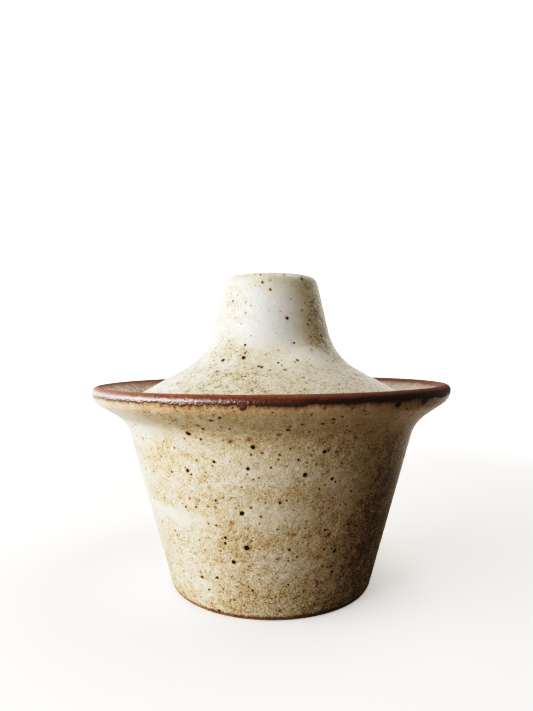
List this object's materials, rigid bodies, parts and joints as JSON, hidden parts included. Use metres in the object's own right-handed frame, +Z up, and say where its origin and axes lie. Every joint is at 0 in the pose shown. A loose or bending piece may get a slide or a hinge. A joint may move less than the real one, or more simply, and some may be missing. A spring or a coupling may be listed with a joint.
{
  "type": "butter crock",
  "caption": "Water-sealed stoneware butter crock: tapered pot with flared rim, and a hat-shaped lid that lifts off with an inverted cup for the butter.",
  "frame": {"origin": "centre of the foot, on the surface the crock stands on", "axes": "+Z up along the axis the pot was thrown on; the pot is round, so +X and +Y are free"},
  "size_m": [0.15, 0.15, 0.13],
  "materials": {
    "crock_glaze": "satin oatmeal glaze with iron speckles over stoneware, rusty brown lip, bare foot ring",
    "lid_glaze": "satin oatmeal glaze with iron speckles over stoneware, bare ring where the lid sits",
    "bell_glaze": "satin oatmeal glaze with iron speckles over stoneware"
  },
  "bodies": {
    "crock": {"crock": "crock_glaze"},
    "lid": {"lid": "lid_glaze", "butter_bell": "bell_glaze"}
  },
  "joints": [
    {"name": "lid_lift", "type": "slide", "parent": "crock", "child": "lid", "axis": [0, 0, 1], "range_m": [0, 0.1]}
  ]
}
